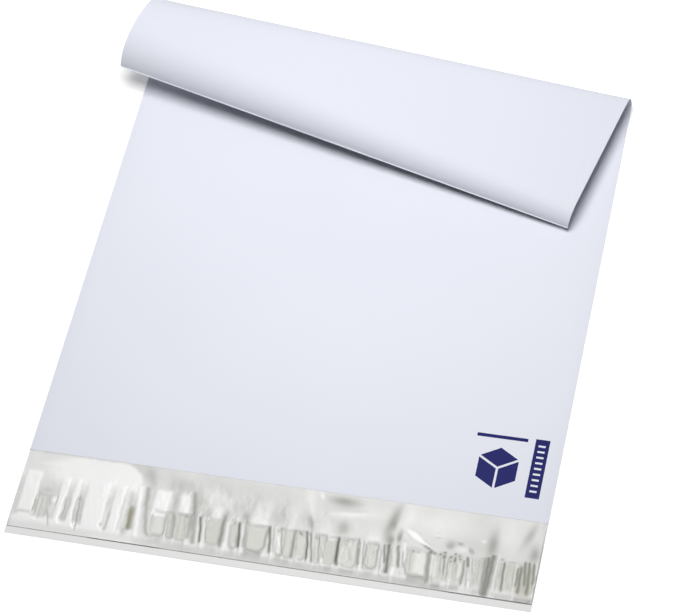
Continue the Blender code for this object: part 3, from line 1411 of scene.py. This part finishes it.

# A pad's shine is the strength of its painted highlight.
# Each row: left, right, low, high, lean, shine, soft, fade.
PADS = [Pad(*row) for row in (
    (2.8, 10, 12.2, 34, 0.4, 1, 1.8, 1.8), (3.8, 10.2, 3.4, 11, 0.2), (1, 64, 3, 10, 0, 1, 4, 3),
    (21.2, 24.8, 3.2, 32.6, 0.8), (28, 30.5, 3.2, 33, 0.5), (34.4, 44.8, 3.2, 33, 1, 1, 2.2, 3),
    (48.4, 53, 3.2, 33, 0.3, 1, 1.8, 3), (53.4, 55.4, 4, 31, 0.2, 0.35, 2.2, 6),
    (68, 75.2, 19.4, 33.2, 0, 0.95, 2, 2.4), (70.2, 75, 10.6, 20, 0.6, 0.42, 2.2),
    (80.2, 85, 22.4, 33, 0.6, 0.85, 2.4, 3.6), (96.8, 101.6, 21.4, 32, 0, 0.66, 2.4, 7),
    (109.4, 110.8, 21.2, 25, 0.2, 0.6, 1.2), (116.4, 124.4, 21.4, 40, 0, 0.58, 2.8, 16),
    (134.2, 137.4, 21, 40, 0, 0.5, 2.8, 15), (148.6, 155, 22.4, 34, 0, 0.3, 3, 12),
    (154.4, 157.8, 20.2, 23.4, 0, 0.62, 1.6), (172.4, 179.4, 21.4, 31, 0, 0.52, 3, 8),
    (196, 202.2, 10, 21.2, 0.8, 0.72, 3.2, 2.4),
)]

# Shade tones: painted shade below 0, painted highlight above 0.
# Each row: across, up, half_across, half_up, tone, turn.
SHADES = [Shade(*row) for row in (
    (15, 24.6, 4, 1.8, -0.4), (30, 24, 32, 24, 0.18), (19.8, 19.6, 0.9, 1.7, 1.5),
    (48, 14.6, 1, 6, -0.45), (47.6, 8.8, 1.4, 1.4, -0.45), (45, 10.8, 0.8, 1.1, -0.45),
    (57, 9, 2.6, 2.4, -0.45), (56.6, 16, 1.2, 7, -0.35), (56.4, 27, 1.6, 4, -0.3),
    (68.6, 9.4, 3, 1.4, -0.45, -0.4), (63.6, 39, 2.6, 6, -0.4, 0.5), (79, 38, 9, 4, -0.25),
    (78, 28, 1.6, 5, -0.3), (85.3, 21.4, 0.9, 0.5, -0.8), (92.4, 21.4, 0.6, 0.5, -0.8),
    (90, 29.6, 3, 3.4, -0.25), (94.2, 24.6, 2.6, 2.4, -0.25), (96, 34, 9, 3.2, 0.6, -0.45),
    (103.6, 25, 1.6, 2.8, -0.4), (107.6, 23, 0.5, 0.5, -0.6), (109, 21.6, 0.6, 0.6, -0.6),
    (108, 29, 4, 3.6, -0.22), (113.3, 25.8, 1.9, 3.2, -0.55), (120.4, 23, 4, 1.8, 0.6),
    (129.2, 22.4, 0.6, 0.7, 1.2), (129, 27.8, 3, 4, -0.28), (141.4, 21.3, 1.4, 0.5, -1.2, -0.5),
    (143.9, 28.4, 1.4, 4.6, -0.6, 0.4), (142.4, 37.4, 1.8, 7, 0.5, 0.25),
    (146.8, 42.6, 0.8, 1.6, 1, 0.5), (149.2, 20.6, 1, 0.4, -1, -0.9),
    (158, 41.2, 7.6, 2.5, -0.85, -0.05), (162, 35, 9, 1.9, 0.9, 0.12), (160.2, 27.4, 3, 3.8, -0.6),
    (159.7, 21.7, 0.9, 0.6, -0.9), (163.6, 21.2, 1.4, 0.35, -0.6), (172, 38, 6, 3.4, 0.35),
    (174, 21, 1.4, 0.35, -0.5), (177.4, 21.3, 1.4, 0.3, -0.5), (183.3, 24.8, 1.9, 2.8, -0.81),
    (182.8, 34.4, 2.3, 8.4, -0.95, -0.22), (187.3, 27, 1, 3.4, -0.81, 0.05),
    (190, 38, 3, 6, 0.54, -0.2), (195.2, 21, 0.6, 0.45, -1.35), (197.6, 20.9, 1, 0.35, -1.08),
    (194.6, 28.6, 5, 1.5, 2.2, -0.5), (200.4, 25, 3.6, 0.6, 2.2, -0.42),
    (201.4, 23.5, 2.4, 0.45, -1.22, -0.42), (204, 36, 15, 6, 0.54), (205.6, 30.4, 2, 0.6, 0.94),
    (203.2, 21.7, 1.1, 0.75, -1.3), (205.2, 21.5, 0.9, 0.5, -1.22), (207.9, 21.4, 0.6, 0.6, -1.35),
    (209.9, 20.5, 0.85, 1.1, -1.3), (209.8, 22.5, 0.9, 0.5, -1.22),
    (211.6, 27, 2.2, 2, -0.61, 0.5), (213, 20.8, 0.6, 0.7, -1.35), (213.3, 18.6, 0.5, 0.6, -1.35),
    (214.8, 22.6, 0.6, 0.5, -1.35), (215.1, 19.8, 0.6, 1.6, -1.3),
    (216, 28.2, 1.5, 0.5, -0.81, -0.1), (216.8, 22, 0.6, 0.5, -1.35),
    (217.3, 20.4, 0.6, 0.5, -1.08), (217.4, 25.4, 2.4, 1.6, 0.68),
    (221.8, 25.4, 1.8, 0.9, -0.61, -0.9), (226.4, 31.2, 1.2, 1, 0.81),
    (228.4, 22.4, 1.6, 0.35, -0.81), (231, 29.8, 2.5, 7, -0.72), (238, 36, 4.6, 8, 0.47),
    (236.6, 23.4, 0.9, 0.4, -0.81), (241.4, 22.4, 2.2, 0.35, -0.68),
    (247, 37.4, 1.9, 6.4, -0.55, -0.3), (250.8, 28, 2.4, 4.5, -0.74), (128, 33, 36, 13, -0.12),
    (226, 14, 32, 10, -0.12), (222, 33, 34, 13, -0.2),
)]


@dataclass
class ReleaseLiner:
    """Thin clear strip over the adhesive. It sticks in patches and puckers up between them.

    Lengths of the strip itself are in metres; what is drawn on it is in millimetres.
    """

    bare_lip: float = 0.0037
    thickness: float = 0.00012
    inset: float = 0.0005
    to_mouth: float = 0.00006
    edge_drop: float = 0.00024
    step_run: float = 0.0065
    rim_run: float = 0.004
    settle_run: float = 0.002
    flush_run: float = 0.016
    cell: Pair = (0.00040, 0.00068)
    band_top: float = 21.8
    loose: tuple[Pair, ...] = ((41.0, 76.0), (214.0, 253.0))
    loose_soft: float = 6.0
    seam_soft: float = 0.28
    gathers_from: float = 138.0
    gathers_run: float = 40.0
    lower_from: float = 186.0
    lower_run: float = 22.0
    lower_share: float = 0.55
    pleat: float = 0.42
    puff: float = 0.60
    grain: float = 0.05
    pad_rise: float = 0.28
    crimp_rise: float = 0.26
    shade_rise: float = 0.40
    pillow_rise: float = 0.55
    pillow_end: float = 60.4
    pillow_radius: float = 12.5
    # Levels of painted highlight and painted shade on the liner.
    ridge_painted_highlight: float = 0.25
    apron_painted_highlight: float = 0.56
    pleat_painted_shade: float = 0.42
    pleat_bright: float = 0.38
    seam_painted_shade: float = 0.14
    hollow_painted_shade: float = 0.8
    swell_painted_highlight: float = 0.7
    pillow_painted_highlight: float = 0.92
    finish: LinerFinish = LinerFinish()

    def patches(self, spots: Spots, in_band: np.ndarray) -> tuple[np.ndarray, ...]:
        """Where the liner sticks, and the painted shade round its patches.

        Args:
            spots: Places on the liner.
            in_band: 1 over the adhesive, 0 off it.

        Returns:
            How stuck it is, its painted shade and olive tint, and the distance to the nearest
            patch.
        """
        stuck, painted_shade, olive = (np.zeros_like(spots.x) for _ in range(3))
        nearest = np.full_like(spots.x, 9.0)
        for patch in CONTACTS:
            away = patch.distance(spots, self.band_top)
            nearest = np.minimum(nearest, away)
            stuck = np.maximum(stuck, patch.hold * fall(away, 0.0, 0.8) * in_band)
            # Painted shade along each patch's outline and below its foot.
            rim = np.exp(-(((away - 0.35) / patch.wide) ** 2)) * in_band
            painted_shade = np.maximum(painted_shade, np.maximum(patch.rim * rim, patch.foot_weight(spots)))
            tinted = eased(0.4 - away / 1.8) * eased((self.band_top + 2.0 - spots.y) / 4.0)
            olive = np.maximum(olive, patch.olive * tinted)
        return stuck, painted_shade, olive, nearest

    def lifted(self, spots: Spots, apron: np.ndarray, ridge: np.ndarray) -> np.ndarray:
        """Painted highlight: the pads, the apron below the band and the ridges between patches.

        Args:
            spots: Places on the liner.
            apron: 1 below the band, 0 elsewhere.
            ridge: 1 between patches, 0 on them.

        Returns:
            How much painted highlight the liner gets and how far the pads lift, from 0 to 1.
        """
        bright = np.maximum(self.ridge_painted_highlight * ridge, self.apron_painted_highlight * apron)
        for pad in PADS:
            bright = np.maximum(bright, pad.painted_shine * pad.weight(spots))
        return bright

    @staticmethod
    def crimped(spots: Spots, bright: np.ndarray, painted_shade: np.ndarray) -> tuple[np.ndarray, ...]:
        """Lay the fine puckers' painted highlight and painted shade over the tones.

        Args:
            spots: Places on the liner.
            bright: Painted highlight without them.
            painted_shade: Painted shade without them.

        Returns:
            The new painted highlight and painted shade, and the puckers' sum.
        """
        total = np.zeros_like(spots.x)
        for crimp in CRIMPS:
            weight = crimp.weight(spots)
            groove, ridge = max(-crimp.tone, 0.0), max(crimp.tone, 0.0)
            total += crimp.tone * weight
            bright = np.maximum(bright * (1.0 - groove * weight), crimp.tone * weight)
            painted_shade = np.maximum(painted_shade * (1.0 - 0.8 * ridge * weight), -crimp.tone * weight)
        return bright, painted_shade, total

    def shape(self, spots: Spots) -> tuple[np.ndarray, np.ndarray]:
        """Relief and tones of the liner, painted highlight and painted shade among them.

        Args:
            spots: Places on the liner.

        Returns:
            The rise above the seat, in millimetres, and four tones from 0 to 1: painted highlight,
            stuck tint, painted shade and olive tint.
        """
        x, y, soft = spots.x, spots.y, spots.softened()
        in_band = fall(soft.y, self.band_top, 0.8)
        stuck, painted_shade, olive, nearest = self.patches(soft, in_band)
        # Ridges between patches and the apron below the band get painted highlight.
        ridge = ramp(nearest, 0.9, 0.9) * ramp(soft.y, 7.0, 2.5) * in_band
        apron = window(soft.y, 2.0, 8.6, 2.4) * (0.75 + 0.25 * waves(x, y, 9.0, 4.4))
        pads = self.lifted(soft, apron, ridge)
        painted_shade = painted_shade * (1.0 - 0.9 * ramp(pads, 0.55, 0.4))
        bright, painted_shade, crimps = self.crimped(Spots(x, soft.y), pads, painted_shade)
        fine = waves(x + 0.12 * (y - 14.0), 0.10 * y, 1.35, 2.7)
        gathered = ramp(x, self.gathers_from, self.gathers_run) * in_band
        gathered = gathered * ramp(soft.y, 5.0, 3.0) * (1.0 - pads)
        # Fine gathers: painted shade in their folds, painted highlight on their crests.
        painted_shade = np.maximum(painted_shade, self.pleat_painted_shade * ramp(-fine, 0.30, 0.4) * gathered)
        bright = np.maximum(bright, self.pleat_bright * ramp(fine, 0.35, 0.4) * gathered)
        shades = np.zeros_like(x)
        for shade in SHADES:
            shades += shade.tone * shade.weight(spots)
        pillow = self.pillow(soft)
        broken = eased(0.5 + waves(x, 0.0 * x, 3.1, 0.9))
        # Painted shade along the adhesive's top edge.
        seam = np.exp(-(((soft.y - self.band_top) / self.seam_soft) ** 2)) * broken
        painted_shade = np.maximum(painted_shade, self.seam_painted_shade * seam * (1.0 - pads))
        # Hollows get painted shade, swells and the pillow painted highlight.
        painted_shade = np.maximum(painted_shade, self.hollow_painted_shade * np.maximum(-shades, 0.0))
        swell = self.swell_painted_highlight * np.maximum(shades, 0.0)
        bright = np.maximum(bright, np.maximum(self.pillow_painted_highlight * pillow, swell))
        below_top = fall(soft.y, self.band_top + 0.5, 2.4)
        free = 1.0 - stuck * below_top
        between = 1.0 - below_top * (1.0 - ramp(nearest, -0.3, 1.7))
        above = ramp(y, self.band_top, 9.0)
        billow = 0.55 + 0.30 * waves(x, y, 21.0, 5.2) + 0.15 * waves(x, y, 8.0, 2.2)
        lowered = self.lower_share * ramp(x, self.lower_from, self.lower_run)
        rise = self.pleat * (1.0 - lowered) * free * ramp(soft.y, 1.0, 10.0) * between
        rise = rise + self.puff * above * billow + self.pad_rise * pads * free
        rise = rise + self.pillow_rise * pillow
        rise = rise + self.crimp_rise * np.clip(crimps, -1.4, 1.4) * (0.5 + 0.5 * free)
        rise = rise + self.shade_rise * np.clip(shades, -1.0, 1.0) * free
        rise = rise + self.grain * free * waves(x, y, 2.4, 0.3)
        tones = {Tone.BRIGHT: bright, Tone.STUCK: stuck, Tone.LINE: painted_shade, Tone.OLIVE: olive}
        return np.maximum(rise, 0.0), np.clip([tones[tone] for tone in Tone], 0.0, 1.0).T

    def pillow(self, spots: Spots) -> np.ndarray:
        """The broad lifted stretch at the left end, with its rounded right end.

        Args:
            spots: Places on the liner.

        Returns:
            1 on the stretch, 0 off it.
        """
        x, y = spots.x, spots.y
        past = np.maximum(x - (self.pillow_end - self.pillow_radius), 0.0)
        above = np.maximum(y - 32.0, 0.0)
        rounded = fall(np.hypot(past, above), self.pillow_radius, 2.2)
        lower, upper = 0.9 * (y - 34.0) * (y < 34.0), 2.0 * (40.0 - y) * (y > 38.0)
        left = ramp(x + lower + upper, 6.0, 16.0)
        return rounded * (0.5 + 0.5 * left) * ramp(y, 22.0, 10.0)

    def seat(self, y: np.ndarray, bag: Bag, band: AdhesiveBand) -> np.ndarray:
        """Height of the liner's underside where it lies flat.

        Args:
            y: Positions from the lip's end, in metres.
            bag: The bag.
            band: The adhesive band under the liner.

        Returns:
            Heights in metres, stepped up over the band.
        """
        low = bag.film + band.seat
        rise = band.thickness + band.seat
        up = ramp(y, band.above_lip - band.seat - self.step_run, self.step_run)
        down = eased((band.above_lip + band.band + band.seat + self.step_run - y) / self.step_run)
        return low + rise * up * down

    def heights(
        self, x: np.ndarray, y: np.ndarray, rise: np.ndarray, bag: Bag, band: AdhesiveBand
    ) -> np.ndarray:
        """Height of the liner's underside, with its lower edge down and its end at the mouth flush.

        Args:
            x: Positions across the bag, in metres.
            y: Positions from the lip's end, in metres.
            rise: The rise above the seat, in millimetres.
            bag: The bag.
            band: The adhesive band under the liner.

        Returns:
            Heights in metres.
        """
        from_left = (x + bag.width / 2.0) / MM
        rim = ramp(y, self.bare_lip, self.rim_run)
        loose = np.maximum(*(window(from_left, *span, self.loose_soft) for span in self.loose))
        settled = (1.0 - ramp(y, self.bare_lip, self.settle_run)) * (1.0 - loose)
        height = self.seat(y, bag, band) - self.edge_drop * settled + rise * rim * MM
        mouth = np.column_stack((x, np.full_like(x, bag.flap_length), np.full_like(x, bag.stack)))
        flush = eased((y - (bag.flap_length - self.to_mouth)) / self.flush_run + 1.0)
        return height + flush * (bag.rippled(mouth)[:, 2] - self.thickness - height)

    def build(self, bag: Bag, band: AdhesiveBand, effects: Effects) -> Object:
        """Make the liner and dress it.

        Args:
            bag: The bag.
            band: The adhesive band under the liner.
            effects: The shared node groups.

        Returns:
            The liner's object.
        """
        width = bag.width - 2.0 * self.inset
        low = self.bare_lip
        high = bag.flap_length - self.to_mouth
        bm = Maker.grid(Vector((0.0, (low + high) / 2.0, 0.0)), width, high - low, self.cell)
        flat = np.array([vert.co for vert in bm.verts], float)
        x, y = flat[:, 0], flat[:, 1]
        rise, tones = self.shape(Spots((x + bag.width / 2.0) / MM, y / MM))
        layer = bm.verts.layers.float_color.new(self.finish.attribute)
        for vert, up, tone in zip(bm.verts, self.heights(x, y, rise, bag, band), tones):
            vert.co.z = up
            vert[layer] = tone
        bmesh.ops.translate(bm, verts=bm.verts, vec=-bag.origin)
        Maker.draw_out(bm, (0.0, 0.0, self.thickness))
        finish = self.finish.material(effects)
        made = Maker.piece("liner_strip", bm, finish, "liner_clear", "release_liner")
        return made


@dataclass(frozen=True)
class Lamp:
    """A soft square lamp that points at the bag."""

    name: str
    place: Place
    size: float
    power: float

    def build(self) -> None:
        """Make the lamp."""
        data = bpy.data.lights.new(self.name, "AREA")
        data.shape = "SQUARE"
        data.size = self.size
        data.energy = self.power
        made = bpy.data.objects.new(self.name, data)
        made.location = self.place
        made.rotation_euler = (-Vector(self.place)).to_track_quat("-Z", "Y").to_euler()
        bpy.context.scene.collection.objects.link(made)


@dataclass
class Studio:
    """White floor, soft light and the camera."""

    floor_size: float = 8.0
    floor_below: float = 0.00003
    floor_roughness: float = 0.9
    floor_glow: float = 0.12
    glow_start: float = 0.14
    glow_run: float = 0.25
    ambient: float = 0.13
    camera_place: Place = (0.27456, -0.63255, 1.05179)
    camera_turn: Place = (31.834, 6.982, 12.663)
    camera_lens: float = 134.471
    lamp: Lamp = Lamp("key", (0.0, 0.108, 0.63), 0.43, 4.2)

    def floor(self) -> None:
        """Lay the floor. The camera sees it glow more and more away from the bag."""
        level = (0.0, 0.0, -self.floor_below)
        bpy.ops.mesh.primitive_plane_add(size=self.floor_size, location=level)
        laid = bpy.context.active_object
        laid.name = "floor"
        made = bpy.data.materials.new("white_floor")
        made.use_nodes = True
        shader = made.node_tree.nodes["Principled BSDF"]
        shader.inputs["Base Color"].default_value = WHITE
        shader.inputs["Roughness"].default_value = self.floor_roughness
        shader.inputs["Specular IOR Level"].default_value = 0.0
        shader.inputs["Emission Strength"].default_value = 1.0
        graph = Graph(made.node_tree)
        seen = graph.add("ShaderNodeLightPath").outputs["Is Camera Ray"]
        away = graph.add("ShaderNodeVectorMath", operation="LENGTH")
        graph.feed(away.inputs[0], graph.add("ShaderNodeTexCoord").outputs["Object"])
        past = graph.math("SUBTRACT", away.outputs["Value"], self.glow_start)
        share = graph.math("DIVIDE", past, self.glow_run, clamp=True)
        glow = graph.math("MULTIPLY", seen, graph.spread(share, self.floor_glow, 1.0))
        graph.feed(shader.inputs["Emission Color"], graph.mix(glow, BLACK, WHITE))
        laid.data.materials.append(made)
        laid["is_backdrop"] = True

    def world(self) -> None:
        """Light the scene evenly, and show plain white where the camera sees past the floor."""
        made = bpy.data.worlds.new("studio")
        bpy.context.scene.world = made
        made.use_nodes = True
        graph = Graph(made.node_tree)
        shown = made.node_tree.nodes["Background"]
        path = graph.add("ShaderNodeLightPath")
        seen = graph.math("MAXIMUM", path.outputs["Is Camera Ray"], path.outputs["Is Glossy Ray"])
        seen = graph.math("MAXIMUM", seen, path.outputs["Is Transmission Ray"])
        shown.inputs["Color"].default_value = WHITE
        graph.feed(shown.inputs["Strength"], graph.spread(seen, self.ambient, 1.0))

    def camera(self) -> None:
        """Place the camera."""
        data = bpy.data.cameras.new("camera")
        data.lens = self.camera_lens
        made = bpy.data.objects.new("camera", data)
        made.location = self.camera_place
        made.rotation_euler = tuple(math.radians(turn) for turn in self.camera_turn)
        bpy.context.scene.collection.objects.link(made)
        bpy.context.scene.camera = made

    def build(self) -> None:
        """Set up the whole studio."""
        self.floor()
        self.world()
        self.camera()
        self.lamp.build()
        bpy.context.scene.view_settings.view_transform = "Standard"


def note_sizes() -> None:
    """Write the CAD box and the dressed box."""
    boxes = {"cad": CAD_BOX, "visual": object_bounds()}
    plain = {name: [list(corner) for corner in box] for name, box in boxes.items()}
    for name, box in plain.items():
        LOG.info("%s box: %s", name, box)


def main() -> None:
    """Build the studio and every piece of the bag."""
    logging.basicConfig(level=logging.INFO, format="%(name)s: %(message)s")
    bpy.ops.object.select_all(action="DESELECT")
    Studio().build()
    effects = Effects()
    bag = Bag()
    bag.build(effects)
    band = AdhesiveBand()
    band.build(bag, effects)
    liner = ReleaseLiner()
    liner.build(bag, band, effects)
    note_sizes()


if __name__ == "__main__":
    main()
